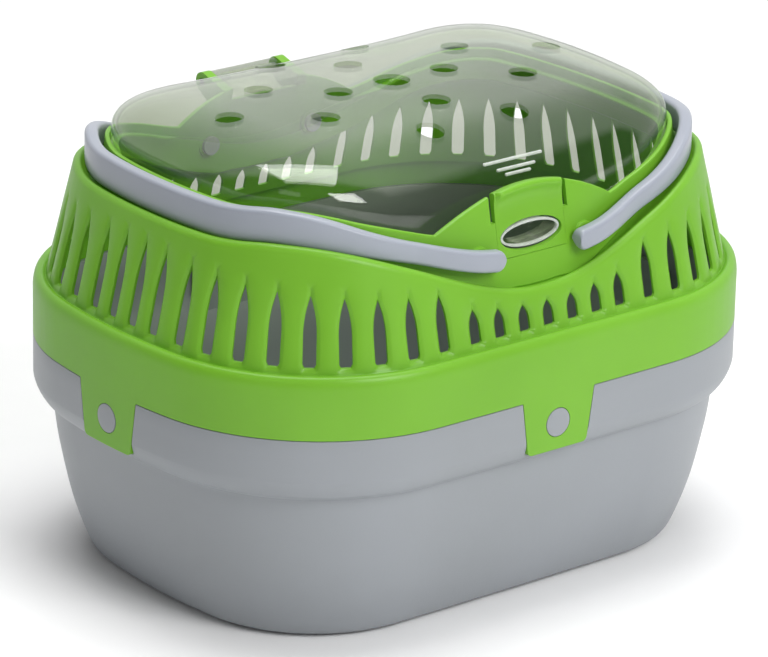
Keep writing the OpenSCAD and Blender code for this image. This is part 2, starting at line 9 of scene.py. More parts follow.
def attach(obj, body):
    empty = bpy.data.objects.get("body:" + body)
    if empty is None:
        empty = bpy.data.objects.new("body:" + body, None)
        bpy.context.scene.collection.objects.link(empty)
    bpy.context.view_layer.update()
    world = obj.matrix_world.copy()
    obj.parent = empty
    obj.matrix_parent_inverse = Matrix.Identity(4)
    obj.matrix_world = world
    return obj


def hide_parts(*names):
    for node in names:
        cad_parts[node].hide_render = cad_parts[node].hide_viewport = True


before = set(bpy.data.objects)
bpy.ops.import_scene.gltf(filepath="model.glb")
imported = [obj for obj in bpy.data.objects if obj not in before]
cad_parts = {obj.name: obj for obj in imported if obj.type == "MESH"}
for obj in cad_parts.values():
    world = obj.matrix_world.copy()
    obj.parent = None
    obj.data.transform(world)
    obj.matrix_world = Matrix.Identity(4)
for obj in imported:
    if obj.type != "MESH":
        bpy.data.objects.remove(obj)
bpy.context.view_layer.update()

# A small-animal carrier. +X runs along its length, +Y to the back where the lid's hinge is, +Z up.
# Lengths are in millimetres and become metres when a mesh is made. An inset is a distance in from
# the outline of the band, and functions of x take its distance from the middle, without its sign.
MM = 0.001

# ---- driving dimensions, the same as the part's ----
HALF_LEN, HALF_WID = 150.0, 114.7
SIDE_R, END_R, CORNER_R = 6000.0, 310.0, 85.5
WALL, CLEARANCE = 2.4, 0.3
JOINT_Z = 99.0
TAB_TOP_W, TAB_LOW_W, TAB_H = 39.0, 32.0, 24.5
STUD_D, STUD_Z = 12.6, 86.5
SLOT_Z, SLOT_W = 127.8, 5.6
SLOT_PITCH, LONG_SLOT_PITCH, END_SLOT_PITCH, N_SHORT = 13.2, 16.6, 14.0, 3
CREASE_Z, WALL_FOOT_IN, WALL_LEAN = 125.0, 5.6, 0.239
LIP_LOW_Z, LIP_HIGH_Z = 144.9, 176.3
SCOOP_SIDE, SCOOP_DEPTH, SCOOP_ROOM = 1.9, 1.15, 0.86
PIVOT_X, PIVOT_Z, BOSS_D = 28.5, 158.6, 11.0
BAR_T, BAR_H, BAR_CHAMFER, GRIP_EXTRA = 6.0, 9.3, 3.8, 5.0
COLLAR_WALL, COLLAR_RISE, CREST_Z, CREST_R = 2.3, 12.2, 185.8, 80.0
TONGUE_W, TONGUE_Z, SLIT_Z, SLIT_W = 37.0, 156.0, 172.0, 2.4
TONGUE_SEAM, TONGUE_LEAN, TONGUE_AXIS_Z = 0.03, 0.2, 157.45
WINDOW_W, WINDOW_H, WINDOW_Z = 33.4, 13.0, 164.7
LID_WALL, LID_TOP_Z, LID_MARGIN = 2.0, 207.0, 40.0
LID_INSET, LID_INSET_END, LID_EDGE_RISE = 30.6, 33.3, 12.5
LID_FRONT_Y = -HALF_WID + LID_INSET
HINGE_Y, HINGE_Z, LUG_IN, LUG_W, KNUCKLE_D = 104.52, 183.0, 18.0, 4.6, 8.0
HOLE_MID_D, HOLE_D = 16.0, 12.4
HOLES = [(29, 0), (-29, 0), (0, 30), (0, -30), (87, 0), (-87, 0), (54, 23), (54, -23),
         (-54, 23), (-54, -23), (23, 54), (23, -54), (-23, 54), (-23, -54)]


def ease(v):
    """Smooth step from 0 to 1, held outside that range."""
    t = np.clip(v, 0.0, 1.0)
    return t * t * (3 - 2 * t)


def mix(a, b, t):
    """The value a share t of the way from a to b."""
    return a + (b - a) * t


# how finely edges are smoothed: faces that meet at less than this many degrees shade as one
SMOOTH, SMOOTH_SHELL, SMOOTH_ROUND = 38, 34, 40


# ---- plan outline: arcs that touch, told by the direction of the outward normal ----
SIDE_C = np.array([0.0, SIDE_R - HALF_WID])
END_C = np.array([HALF_LEN - END_R, 0.0])


def corner_centre():
    """Centre of the corner arc that touches both the side arc and the end arc."""
    r1, r2 = SIDE_R - CORNER_R, END_R - CORNER_R
    span = END_C - SIDE_C
    d = np.linalg.norm(span)
    along = (r1 * r1 - r2 * r2 + d * d) / (2 * d)
    u = span / d
    return SIDE_C + along * u + math.sqrt(r1 * r1 - along * along) * np.array([-u[1], u[0]])


CORNER_C = corner_centre()
ANG_SIDE = math.atan2(CORNER_C[0] - SIDE_C[0], SIDE_C[1] - CORNER_C[1])
ANG_END = math.atan2(CORNER_C[0] - END_C[0], END_C[1] - CORNER_C[1])


def outline_at(t):
    """Point, outward normal and radius of the outline where its normal is at angle t from -Y."""
    q = np.arctan2(np.abs(np.sin(t)), np.abs(np.cos(t)))
    on_side, on_end = q < ANG_SIDE, q > ANG_END
    cx = np.where(on_side, SIDE_C[0], np.where(on_end, END_C[0], CORNER_C[0]))
    cy = np.where(on_side, SIDE_C[1], np.where(on_end, END_C[1], CORNER_C[1]))
    r = np.where(on_side, SIDE_R, np.where(on_end, END_R, CORNER_R))
    sx = np.where(np.sin(t) < 0, -1.0, 1.0)
    sy = np.where(np.cos(t) < 0, -1.0, 1.0)
    nx, ny = np.sin(q), -np.cos(q)
    return (cx + r * nx) * sx, (cy + r * ny) * sy, nx * sx, ny * sy, r


def quadrant_angles():
    """Normal angles of one quadrant, densest where the corner turns."""
    return np.concatenate([np.linspace(0, ANG_SIDE, 160, endpoint=False),
                           np.linspace(ANG_SIDE, ANG_END, 700, endpoint=False),
                           np.linspace(ANG_END, math.pi / 2, 200, endpoint=False)])


class Outline:
    """The outline by arc length, so that columns of a mesh can be set along it."""

    def __init__(self):
        q = quadrant_angles()
        back = math.pi - q[:0:-1]
        half = np.concatenate([q, [math.pi / 2], back])
        self.t = np.concatenate([half, half + math.pi, [2 * math.pi]])
        x, y, nx, ny, r = outline_at(self.t[:-1])
        self.x, self.y, self.nx, self.ny, self.r = (np.append(a, a[0]) for a in (x, y, nx, ny, r))
        steps = np.hypot(np.diff(self.x), np.diff(self.y))
        self.s = np.concatenate([[0.0], np.cumsum(steps)])
        self.length = self.s[-1]

    def s_of(self, t):
        """Arc length where the normal is at angle t."""
        return np.interp(t, self.t, self.s)

    def radius(self, s):
        """Radius of the outline at arc length s."""
        return np.interp(np.mod(s, self.length), self.s, self.r)

    def place(self, s, inset):
        """x and y of the points at arc lengths s, moved in by inset."""
        s = np.mod(s, self.length)
        nx, ny = np.interp(s, self.s, self.nx), np.interp(s, self.s, self.ny)
        k = 1 / np.hypot(nx, ny)
        return (np.interp(s, self.s, self.x) - inset * nx * k,
                np.interp(s, self.s, self.y) - inset * ny * k)


OUT = Outline()
RIM_INSET = 20.0


# ---- heights and insets shared by the pieces, as functions of x ----
def wall_in(z):
    """Inset of the slatted wall's outer face at height z."""
    return WALL_FOOT_IN + WALL_LEAN * (z - CREASE_Z)


def end_dip(x):
    """How far the lip and the bars come down again at the ends."""
    return 1.8 * ease((x - 116) / 14)


def lip_z(x):
    """Height of the rolled lip at the top of the slatted wall."""
    return mix(LIP_LOW_Z, LIP_HIGH_Z, ease((x - 2) / 114)) - end_dip(x)


def rim_line(x):
    """Height of the line that the bars and the collar follow."""
    return mix(PIVOT_Z - BAR_H / 2 - 0.65, LIP_HIGH_Z - 0.1, ease((x - 12) / 108)) - end_dip(x)


def drop(x):
    """How far the bar hangs below that line away from the latch."""
    return 1.3 * ease((x - 60) / 30)


def collar_top(x):
    """Height of the collar beside the latch."""
    return rim_line(x) + COLLAR_RISE - drop(x)


def crest_top(x):
    """Height of the collar with the arched crest over the latch."""
    return np.maximum(collar_top(x), CREST_Z - x * x / (2 * CREST_R))


def collar_in(x, z):
    """Inset of the collar's outer face."""
    low = lip_z(x)
    return mix(19.8 + 0.2 * (z - PIVOT_Z), wall_in(low) + 12.0 + 0.1 * (z - low), ease((x - 20) / 42))


def collar_inner(x, z):
    """Inset of the collar's inner face, never closer to the lid than the clearance."""
    return np.minimum(collar_in(x, z) + COLLAR_WALL, lid_in(x) - CLEARANCE)


def gutter_z(x):
    """Height of the gutter floor between lip and collar."""
    return lip_z(x) - 3.4 + 1.9 * (1 - ease((x - 10) / 12))


def bar_out_in(x):
    """Inset of a bar's outer face."""
    return wall_in(rim_line(x)) + 4.6 * ease((x - 30) / 34) - 0.15


def lid_in(x):
    """Inset of the lid's skirt."""
    return mix(LID_INSET, LID_INSET_END, ease(x / 90))


def lid_bottom(x):
    """Height of the skirt's lower edge."""
    return collar_top(x) - 4 - 3.5 * (1 - ease(x / 45))


def lid_edge(x):
    """Height where the skirt turns into the dome."""
    return rim_line(x) + LID_EDGE_RISE


def lid_crown(x, y):
    """Height of the nearly flat crown."""
    return LID_TOP_Z - 3.5 * (y / 58) ** 2 * (1 - np.minimum(1, (x / 130) ** 2))


def lid_rise(u):
    """Share of the dome's rise at a share u of the margin."""
    return (1 - (1 - np.minimum(u, 1)) ** 2.4) ** (1 / 2.4)


# ---- meshes ----
def new_piece(name, verts, faces, sharp=SMOOTH):
    """Object in the scene from vertices in millimetres."""
    mesh = bpy.data.meshes.new(name)
    mesh.from_pydata((np.asarray(verts, float) * MM).tolist(), [], faces)
    mesh.validate()
    obj = bpy.data.objects.new(name, mesh)
    bpy.context.scene.collection.objects.link(obj)
    mark_sharp(obj, sharp)
    return obj


def mark_sharp(obj, degrees):
    """Smooth shading, broken at edges that turn by more than this many degrees."""
    bm = bmesh.new()
    bm.from_mesh(obj.data)
    limit = math.radians(degrees)
    for face in bm.faces:
        face.smooth = True
    for edge in bm.edges:
        edge.smooth = len(edge.link_faces) == 2 and edge.calc_face_angle(0) < limit
    bm.to_mesh(obj.data)
    bm.free()


def grid_faces(rows, cols, close_rows, close_cols, skip=lambda j, i: False):
    """Quads of a grid of vertices, joined round in either direction, without those that skip names."""
    faces = []
    for j in range(rows if close_rows else rows - 1):
        k = (j + 1) % rows
        for i in range(cols if close_cols else cols - 1):
            if skip(j, i):
                continue
            n = (i + 1) % cols
            faces.append((j * cols + i, j * cols + n, k * cols + n, k * cols + i))
    return faces


def closed_faces(rings, n):
    """Faces of stacked rings of n vertices, closed by one vertex before and one after, added last."""
    low, high = rings * n, rings * n + 1
    last = (rings - 1) * n
    faces = grid_faces(rings, n, False, True)
    faces += [(low, (i + 1) % n, i) for i in range(n)]
    faces += [(high, last + i, last + (i + 1) % n) for i in range(n)]
    return faces


def prism(name, outline, y0, y1):
    """Closed prism of an XZ outline, counter-clockwise seen from -Y, from y0 to y1."""
    n = len(outline)
    verts = [(x, y0, z) for x, z in outline] + [(x, y1, z) for x, z in outline]
    faces = [tuple(range(n)), tuple(range(2 * n - 1, n - 1, -1))]
    faces += [(i, i + n, (i + 1) % n + n, (i + 1) % n) for i in range(n)]
    return new_piece(name, verts, faces)


def ellipse_points(w, h, cz, n=64):
    """XZ outline of an ellipse, counter-clockwise."""
    angles = [2 * math.pi * i / n for i in range(n)]
    return [(w / 2 * math.cos(a), cz + h / 2 * math.sin(a)) for a in angles]


def lathe(name, profile, n=64):
    """Closed solid turned about Z from (radius, height) pairs, first and last on the axis."""
    ring = [p for p in profile if p[0] > 1e-6]
    verts = [(r * math.cos(2 * math.pi * i / n), r * math.sin(2 * math.pi * i / n), z)
             for r, z in ring for i in range(n)]
    verts += [(0, 0, profile[0][1]), (0, 0, profile[-1][1])]
    return new_piece(name, verts, closed_faces(len(ring), n))


def set_place(obj, rotation, shift):
    """Turn a mesh about the origin, then move it, with no transform left on the object."""
    matrix = rotation.to_4x4()
    matrix.translation = Vector(shift) * MM
    obj.data.transform(matrix)


def boolean(obj, tools, operation):
    """Apply a boolean with each tool to a piece, and remove the tools."""
    for tool in tools:
        change = obj.modifiers.new(operation.lower(), "BOOLEAN")
        change.operation = operation
        change.solver = "MANIFOLD"
        change.object = tool
    graph = bpy.context.evaluated_depsgraph_get()
    mesh = bpy.data.meshes.new_from_object(obj.evaluated_get(graph))
    obj.modifiers.clear()
    obj.data = mesh
    for tool in tools:
        bpy.data.objects.remove(tool)


def cut(obj, cutters, sharp=SMOOTH):
    """Cut tools out of a piece and mark its edges again."""
    boolean(obj, cutters, "DIFFERENCE")
    mark_sharp(obj, sharp)


def join(name, objects):
    """One object of several, their shapes kept as separate shells."""
    bm = bmesh.new()
    for obj in objects:
        bm.from_mesh(obj.data)
    mesh = bpy.data.meshes.new(name)
    bm.to_mesh(mesh)
    bm.free()
    for obj in objects:
        bpy.data.objects.remove(obj)
    whole = bpy.data.objects.new(name, mesh)
    bpy.context.scene.collection.objects.link(whole)
    return whole


def box_tool(low, high):
    """Box between two corners."""
    (x0, y0, z0), (x1, y1, z1) = low, high
    return prism("tool", [(x0, z0), (x1, z0), (x1, z1), (x0, z1)], y0, y1)


def round_tool(axis, r, a, b, at, n=64):
    """Cylinder along an axis, "X", "Y" or "Z", from a to b, about the point at of the other two."""
    tool = lathe("tool", [(0, a), (r, a), (r, b), (0, b)], n)
    if axis == "Z":
        set_place(tool, Matrix.Identity(3), (at[0], at[1], 0))
    elif axis == "Y":
        set_place(tool, Matrix.Rotation(-math.pi / 2, 3, "X"), (at[0], 0, at[1]))
    else:
        set_place(tool, Matrix.Rotation(math.pi / 2, 3, "Y"), (0, at[0], at[1]))
    return tool


def round_corners(points, radii, n=6):
    """Polygon with each corner replaced by an arc of its radius."""
    out = []
    count = len(points)
    for i, (p, r) in enumerate(zip(points, radii)):
        p = np.array(p, float)
        a = np.array(points[i - 1], float) - p
        b = np.array(points[(i + 1) % count], float) - p
        if r <= 0:
            out.append(tuple(p))
            continue
        a, b = a / np.linalg.norm(a), b / np.linalg.norm(b)
        half = math.acos(np.clip(a @ b, -1, 1)) / 2
        centre = p + (a + b) / np.linalg.norm(a + b) * r / math.sin(half)
        start = p + a * r / math.tan(half) - centre
        end = p + b * r / math.tan(half) - centre
        a0, a1 = math.atan2(start[1], start[0]), math.atan2(end[1], end[0])
        turn = (a1 - a0 + math.pi) % (2 * math.pi) - math.pi
        angles = [a0 + turn * k / n for k in range(n + 1)]
        out += [(centre[0] + r * math.cos(a), centre[1] + r * math.sin(a)) for a in angles]
    return out


# ---- slots: one cell of columns for each ----
def slot_layout():
    """Arc lengths of the slots' centres round the outline, and the heights of their tops."""
    quarter = OUT.length / 4
    short, last = N_SHORT * SLOT_PITCH, quarter - 1.5 * END_SLOT_PITCH
    n_long = round((last - short) / LONG_SLOT_PITCH)
    arcs = np.concatenate([SLOT_PITCH * np.arange(1, N_SHORT + 1),
                           short + (last - short) * np.arange(1, n_long + 1) / n_long,
                           [quarter - END_SLOT_PITCH / 2]])
    one = np.concatenate([[0.0], arcs])
    centres = np.concatenate([one, 2 * quarter - arcs, 2 * quarter + one, 4 * quarter - arcs])
    along = np.concatenate([one, arcs, one, arcs])
    rise = np.clip((along - short) / (quarter - short), 0, 1) ** 0.8
    tops = np.where(along < short + SLOT_PITCH / 2, LIP_LOW_Z - 6.6 + along ** 2 / 440,
                    mix(LIP_LOW_Z + 4.1, LIP_HIGH_Z - 13.0, rise))
    order = np.argsort(centres)
    return centres[order], tops[order]


# where the columns of a cell lie between the slot's edge (0) and the scoop's edge (1)
SCOOP_STEPS = np.array([1.0, 0.66, 0.36, 0.13, 0.0])
CELL_COLS = 2 * len(SCOOP_STEPS) + 1
SLOT_COL = len(SCOOP_STEPS)  # the column on the slot's left edge
N_SLOT_ROWS = 30
TIP_HALF_WIDTH = 0.16

# rows of the shell's outer face from the tabs up, and of its inner face from the slots down
BAND_ROWS = (73.0, 80.0, 88.0, 94.0, 99.0, 106.0, 114.0, 120.0)
SHOULDER = ((0.13, 121.4), (0.35, 122.9), (0.8, 124.3), (1.35, 125.15), (2.0, 125.7), (2.8, 126.0),
            (3.6, 126.0), (4.4, 125.8), (5.0, 125.4), (5.4, 125.05))
SLOT_FOOT = ((125.3, 0.0), (126.0, 0.05), (126.7, 0.3), (127.3, 0.7))
LIP_ROLL = ((0.22, 2.3), (0.75, 1.25), (1.5, 0.5), (2.4, 0.1), (3.2, 0.18), (3.9, 0.75), (4.4, 1.5))
INNER_BAND = ((7.7, 124.1), (4.0, 123.6), (2.9, 122.4), (WALL, 120.4), (WALL, 99.0), (WALL, 73.0))


def slot_half_width(v):
    """Half width of a slot at a share v of its height: round foot, pointed top."""
    taper = 1 - np.clip((v - 0.42) / 0.58, 0, 1) ** 2.2
    foot = np.sqrt(np.clip(1 - (1 - np.clip(v / 0.045, 0, 1)) ** 2, 0, 1))
    return np.maximum(SLOT_W / 2 * taper * (0.72 + 0.28 * foot), TIP_HALF_WIDTH)


def build_shell():
    """The slatted shell as one closed sheet of columns, eleven for each slot."""
    centres, tops = slot_layout()
    n = len(centres)
    before = np.concatenate([[centres[-1] - OUT.length], centres[:-1]])
    after = np.concatenate([centres[1:], [centres[0] + OUT.length]])
    # every column: its slot, its side of the slot, and its step between slot and scoop edge
    cell, side, step = [], [], []
    for i in range(n):
        cell += [i] * CELL_COLS
        side += [-1] + [-1] * SLOT_COL + [1] * SLOT_COL
        step += [-1.0] + list(SCOOP_STEPS) + list(SCOOP_STEPS[::-1])
    cell, side, step = np.array(cell), np.array(side), np.array(step)
    edge_col = step < 0
    middle = (before + centres)[cell] / 2
    room = np.minimum((centres - before)[cell], (after - centres)[cell]) / 2
    top = np.where(edge_col, (tops + np.roll(tops, 1))[cell] / 2, tops[cell])
    cols = len(cell)
    rows_s, rows_in, rows_z = [], [], []

    def put(inset, z, half, scoop=0.0, spread=0.0):
        """One row: half is the slot's half width there, spread keeps it that wide on a tight curve."""
        inset = np.broadcast_to(np.asarray(inset, float), cols).copy()
        z = np.broadcast_to(np.asarray(z, float), cols).copy()
        half = np.broadcast_to(np.asarray(half, float), cols)
        r = OUT.radius(centres[cell])
        off = side * mix(half, np.minimum(half + SCOOP_SIDE, room * SCOOP_ROOM), np.abs(step))
        s = np.where(edge_col, middle, centres[cell] + off * (1 + spread * inset / (r - inset)))
        near = np.where(edge_col, 0.0, (1 - np.abs(step)) ** 1.3)
        rows_s.append(s)
        rows_in.append(inset + scoop * near)
        rows_z.append(z)

    wide = SLOT_W / 2
    reach = np.minimum(wide + SCOOP_SIDE, room * SCOOP_ROOM)
    column_s = np.where(edge_col, middle, centres[cell] + side * mix(wide, reach, np.abs(step)))
    xs = np.abs(OUT.place(column_s, RIM_INSET)[0])
    low = lip_z(xs)
    wo = wall_in(low - 3.4)
    floor = gutter_z(xs)
    crest = crest_top(xs)
    for z in BAND_ROWS:
        put(0.0, z, wide)
    # the rounded shoulder and the crease where the slatted wall stands on it
    for inset, z in SHOULDER:
        put(inset, z, wide)
    for z, k in SLOT_FOOT:
        put(wall_in(z), z, wide * 0.9, SCOOP_DEPTH * k, k)
    first_slot_row = len(rows_z)
    v = np.linspace(0, 1, N_SLOT_ROWS) ** 0.9
    for q in v:
        z = SLOT_Z + q * (top - SLOT_Z)
        put(wall_in(z), z, slot_half_width(q), SCOOP_DEPTH, 1.0)
    last_slot_row = len(rows_z) - 1
    above = np.minimum(6.5, (low - 4.4) - top)
    for k in (0.12, 0.25, 0.4, 0.55, 0.7, 0.85, 1.0):
        z = top + above * k
        half = mix(TIP_HALF_WIDTH, wide, float(ease((k - 0.5) / 0.5)))
        fade = 1 - float(ease(k))
        put(wall_in(z), z, half, SCOOP_DEPTH * fade, fade)
    start = top + above
    for k in (0.2, 0.4, 0.6, 0.8, 1.0):
        z = mix(start, low - 3.4, k)
        put(wall_in(z), z, wide)
    for step_in, down in LIP_ROLL:
        put(wo + step_in, low - down, wide)
    bottom_in = collar_in(xs, floor)
    for k in (0.15, 0.45, 0.75, 0.93):
        put(mix(wo + 4.6, bottom_in, k), mix(low - 2.2, floor, ease(k)), wide)
    for k in (0.02, 0.06, 0.15, 0.3, 0.45, 0.6, 0.75, 0.9, 0.97):
        z = mix(floor, crest - 0.8, k)
        lead = 1.1 * (1 - min(1, k / 0.15)) ** 2
        put(collar_in(xs, z) - lead, z, wide)
    outer_top = collar_in(xs, crest - 0.8)
    inner_top = collar_inner(xs, crest - 0.8)
    put(outer_top, crest - 0.8, wide)
    put(outer_top + 0.22, crest - 0.25, wide)
    put(outer_top + 0.7, crest, wide)
    put(inner_top - 0.6, crest, wide)
    put(inner_top - 0.15, crest - 0.25, wide)
    put(inner_top, crest - 0.8, wide)
    seat = lid_bottom(xs) - CLEARANCE
    seat_in = collar_inner(xs, seat)
    ledge = mix(0.3, 4.0, ease((xs - 46) / 14))
    put(seat_in, seat, wide)
    put(seat_in + ledge, seat, wide)
    put(seat_in + ledge, seat - 0.8, wide)
    put(seat_in + 0.1, seat - 1.8 - ledge, wide)
    put(collar_in(xs, floor) + COLLAR_WALL, floor - 1, wide)
    put(collar_in(xs, floor) + 0.2, floor - 2.4, wide)
    put(wo + 5.2, low - 4.9, wide)
    put(wo + WALL, low - 5.6, wide)
    put(wall_in(start) + WALL, np.minimum(start, low - 6.0), wide)
    first_inner_row = len(rows_z)
    for q in v[::-1]:
        z = SLOT_Z + q * (top - SLOT_Z)
        put(wall_in(z) + WALL, z, slot_half_width(q), 0.0, 1.0)
    last_inner_row = len(rows_z) - 1
    for inset, z in ((wall_in(126) + WALL, 126.0),) + INNER_BAND:
        put(inset, z, wide)

    rows = len(rows_z)
    verts = []
    for j in range(rows):
        x, y = OUT.place(rows_s[j], rows_in[j])
        verts.append(np.stack([x, y, rows_z[j]], axis=1))
    verts = np.concatenate(verts)

    def is_hole(j, i):
        """Whether the quad at row j, column i lies in a slot."""
        outer = first_slot_row <= j < last_slot_row
        inner = first_inner_row <= j < last_inner_row
        return (outer or inner) and i % CELL_COLS == SLOT_COL

    faces = grid_faces(rows, cols, True, True, is_hole)
    for i in range(n):
        left = i * CELL_COLS + SLOT_COL
        right = left + 1
        for k in range(N_SLOT_ROWS - 1):
            j, m = first_slot_row + k, last_inner_row - k
            a, b = j * cols, (j + 1) * cols
            c, d = m * cols, (m - 1) * cols
            faces.append((a + left, c + left, d + left, b + left))
            faces.append((a + right, b + right, d + right, c + right))
        a, c = first_slot_row * cols, last_inner_row * cols
        faces.append((a + left, a + right, c + right, c + left))
        a, c = last_slot_row * cols, first_inner_row * cols
        faces.append((a + left, c + left, c + right, a + right))
    return new_piece("upper_shell_look", verts, faces, SMOOTH_SHELL)


# ---- the four tabs ----
TAB_TURNS = [(0.0, HALF_WID), (math.pi, HALF_WID), (-math.pi / 2, HALF_LEN), (math.pi / 2, HALF_LEN)]


def tab_outline(grow, top):
    """XZ outline of a tab, grown all round."""
    half_top, half_low = TAB_TOP_W / 2 + grow, TAB_LOW_W / 2 + grow
    low = JOINT_Z - TAB_H - grow
    return round_corners([(-half_top, JOINT_Z), (-half_low, low), (half_low, low), (half_top, JOINT_Z),
                          (half_top, top), (-half_top, top)], [0, 2.5, 2.5, 0, 0, 0])


def tab_tool(i, grow, top, y0, y1):
    """Tab-shaped prism from y0 to y1 in from the band's face at the middle of side i."""
    turn, distance = TAB_TURNS[i]
    tool = prism("tool", tab_outline(grow, top), y0 - distance, y1 - distance)
    set_place(tool, Matrix.Rotation(turn, 3, "Z"), (0, 0, 0))
    return tool


def ring_band(name, inset_out, inset_in, z0, z1, n=720):
    """Closed band that follows the outline."""
    s = np.arange(n) * OUT.length / n
    verts = []
    for inset, z in ((inset_out, z0), (inset_out, z1), (inset_in, z1), (inset_in, z0)):
        x, y = OUT.place(s, inset)
        verts += list(zip(x, y, np.full(n, z)))
    return new_piece(name, verts, grid_faces(4, n, True, True))


def stud_hole(i, r, y0, y1):
    """Round tool on the stud's axis of side i."""
    turn, distance = TAB_TURNS[i]
    tool = round_tool("Y", r, y0 - distance, y1 - distance, (0, STUD_Z))
    set_place(tool, Matrix.Rotation(turn, 3, "Z"), (0, 0, 0))
    return tool


def finish_shell(shell):
    """Cut the tabs, studs, tongue and hinge room, and add the handle bosses and hinge gussets."""
    skirt = ring_band("tool", -3, 8, 66, JOINT_Z)
    cut(skirt, [tab_tool(i, 0, JOINT_Z + 1, -6, 20) for i in range(4)])
    cut(shell, [skirt] + [stud_hole(i, STUD_D / 2 + 0.25, -6, 12) for i in range(4)])
    tongue_y = -HALF_WID + collar_in(0, TONGUE_AXIS_Z)
    side, slit_side = TONGUE_W / 2 + TONGUE_SEAM, TONGUE_W / 2 + SLIT_W
    tools = [box_tool((-side, tongue_y - 4, TONGUE_Z + 0.36), (side, tongue_y + 12, 220)),
             box_tool((-slit_side, tongue_y - 5, SLIT_Z), (slit_side, tongue_y + 12, 220)),
             box_tool((-LUG_IN, HALF_WID - LID_INSET, HINGE_Z - 5), (LUG_IN, HINGE_Y + 12, 225))]
    cut(shell, tools, SMOOTH_SHELL)
    bosses = []
    bar_in_y = HALF_WID - float(bar_out_in(PIVOT_X)) - BAR_T
    r = BOSS_D / 2
    boss_profile = [(0, 0.9), (r - 0.5, 0.9), (r - 0.13, 1.05), (r, 1.4), (r, 5.4), (0, 5.4)]
    for s in (-1, 1):
        for x in (-PIVOT_X, PIVOT_X):
            boss = lathe("boss", boss_profile)
            set_place(boss, Matrix.Rotation(s * math.pi / 2, 3, "X"), (x, s * bar_in_y, PIVOT_Z))
            bosses.append(boss)
    # gussets from the back of the collar out to the hinge axis
    r = KNUCKLE_D / 2 + 0.4
    foot = [(HALF_WID - float(collar_in(LUG_IN, HINGE_Z + dz)) - 1.8 - HINGE_Y, dz)
            for dz in (0, -14)]
    arc = [(r * math.cos(a), r * math.sin(a)) for a in np.linspace(-1.0, 1.84, 40)]
    for s in (-1, 1):
        lug = prism("lug", foot + arc, -LUG_W / 2, LUG_W / 2)
        at = (s * (LUG_IN + LUG_W / 2), HINGE_Y, HINGE_Z)
        set_place(lug, Matrix.Rotation(math.pi / 2, 3, "Z"), at)
        bosses.append(lug)
    whole = join("upper_shell_look", [shell] + bosses)
    mark_sharp(whole, SMOOTH_SHELL)
    return whole


# ---- tub ----
def catmull(points, per=6):
    """Smooth curve through points."""
    p = np.array(points, float)
    p = np.vstack([2 * p[0] - p[1], p, 2 * p[-1] - p[-2]])
    out = []
    for i in range(1, len(p) - 2):
        for k in range(per):
            t = k / per
            a = 2 * p[i]
            b = p[i + 1] - p[i - 1]
            c = 2 * p[i - 1] - 5 * p[i] + 4 * p[i + 1] - p[i + 2]
            d = -p[i - 1] + 3 * p[i] - 3 * p[i + 1] + p[i + 2]
            out.append(tuple((a + b * t + c * t * t + d * t ** 3) / 2))
    out.append(tuple(p[-2]))
    return out


# the tub's profile as (inset, height): outer wall, step under the rim, rim and lip, inner wall
TUB_WALL_CURVE = [(32.0, 0.0), (29.6, 0.25), (27.5, 1.4), (23.6, 5.2), (16.5, 25.0), (11.1, 49.3),
                  (9.1, 63.0), (8.5, 68.4)]
TUB_STEP_CURVE = [(8.35, 69.2), (7.9, 70.0), (6.8, 70.6), (5.2, 71.3), (3.5, 72.8), (1.9, 75.2),
                  (0.75, 77.7), (0.12, 79.8)]
TUB_RIM = [(0.0, 80.6), (0.0, 86.0), (0.0, 92.0), (0.0, 98.3), (0.12, 98.58), (0.4, 98.7),
           (2.9, 98.7), (2.9, 111.4), (3.2, 112.0)]
TUB_INSIDE = [(5.0, 112.0), (5.3, 111.4), (5.3, 99.0), (2.5, 94.0), (2.4, 81.0), (4.3, 76.9),
              (10.9, 70.1), (13.5, 49.3), (19.0, 25.7), (26.9, 9.0), (33.5, 2.4)]
# the pad behind a tab's recess, seen from the side
PAD_PROFILE = [(2.0, 98.0), (2.0, 80.0), (2.9, 76.5), (6.84, 72.3), (7.7, 71.3), (7.7, 98.0)]
PAD_HALF_WIDTH = 22


def build_tub():
    """Tub with its stepped rim, the lip inside the shell and the recesses for the tabs."""
    rings = catmull(TUB_WALL_CURVE) + catmull(TUB_STEP_CURVE, 4) + TUB_RIM + TUB_INSIDE
    n = 720
    s = np.arange(n) * OUT.length / n
    verts = []
    for inset, z in rings:
        x, y = OUT.place(s, inset)
        verts += list(zip(x, y, np.full(n, z)))
    verts += [(0, 0, 0), (0, 0, WALL)]
    tub = new_piece("tub_look", verts, closed_faces(len(rings), n))
    pads = []
    for turn, distance in TAB_TURNS:
        side_view = [(inset - distance, z) for inset, z in PAD_PROFILE]
        pad = prism("pad", side_view, -PAD_HALF_WIDTH, PAD_HALF_WIDTH)
        set_place(pad, Matrix.Rotation(turn + math.pi / 2, 3, "Z"), (0, 0, 0))
        pads.append(pad)
    boolean(tub, pads, "UNION")
    recesses = []
    for i in range(4):
        band = ring_band("tool", -3, WALL + CLEARANCE, 66, JOINT_Z)
        boolean(band, [tab_tool(i, CLEARANCE, JOINT_Z + 1, -6, 20)], "INTERSECT")
        recesses.append(band)
    cut(tub, recesses)
    return tub


# ---- handles ----
def bar_section(a, b):
    """Rounded section as (inset from the bar's outer face, height)."""
    r = min(1.9, 0.42 * (b - a))
    chamfer = min(BAR_CHAMFER, 0.42 * (b - a))
    corners = [(0, a), (0, b), (BAR_T, b), (BAR_T, a + chamfer), (BAR_T - chamfer, a)]
    return round_corners(corners, [r, r, r, r * 0.4, r * 0.4], 5)


